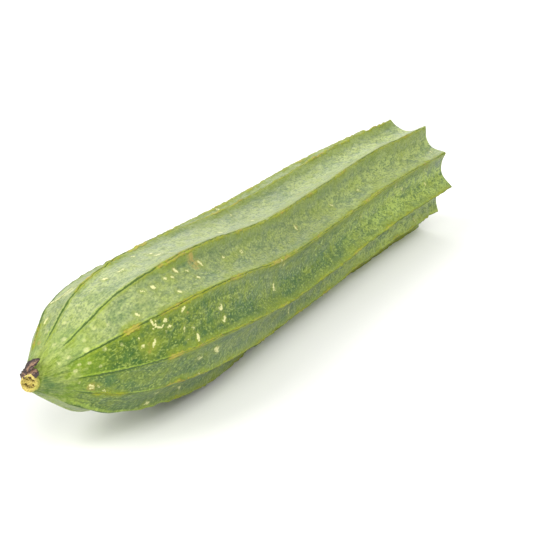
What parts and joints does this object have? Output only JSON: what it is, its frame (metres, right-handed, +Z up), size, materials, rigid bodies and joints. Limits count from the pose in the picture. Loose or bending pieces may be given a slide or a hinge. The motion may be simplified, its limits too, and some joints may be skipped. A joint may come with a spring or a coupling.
{
  "type": "ridge gourd",
  "caption": "Long ridged green gourd with sharp lengthwise ridges, cut flat across at one end and tipped at the other by the dry remains of its flower.",
  "frame": {"origin": "middle of the bounding box on the plane that the fruit lies on", "axes": "+X along the fruit, from the blossom end to the cut face; +Z up; +Y completes the right-handed set"},
  "size_m": [0.3238, 0.0534, 0.0511],
  "materials": {
    "fruit_skin": "satin living rind, grey-green with a faint bloom, paler on top and yellow-green at the blossom end, with olive crests and cream scars; the cut face is lime green at the rim and moist white inside",
    "dry_collar": "dry yellow-tan cork, matt and slightly ragged",
    "withered_sepal": "shrivelled dark brown plant tissue, matt, tan on its folds"
  },
  "bodies": {
    "root": {"fruit": "fruit_skin", "flower_collar": "dry_collar", "withered_sepal_long": "withered_sepal", "withered_sepal_folded": "withered_sepal", "withered_sepal_stub": "withered_sepal"}
  },
  "joints": []
}
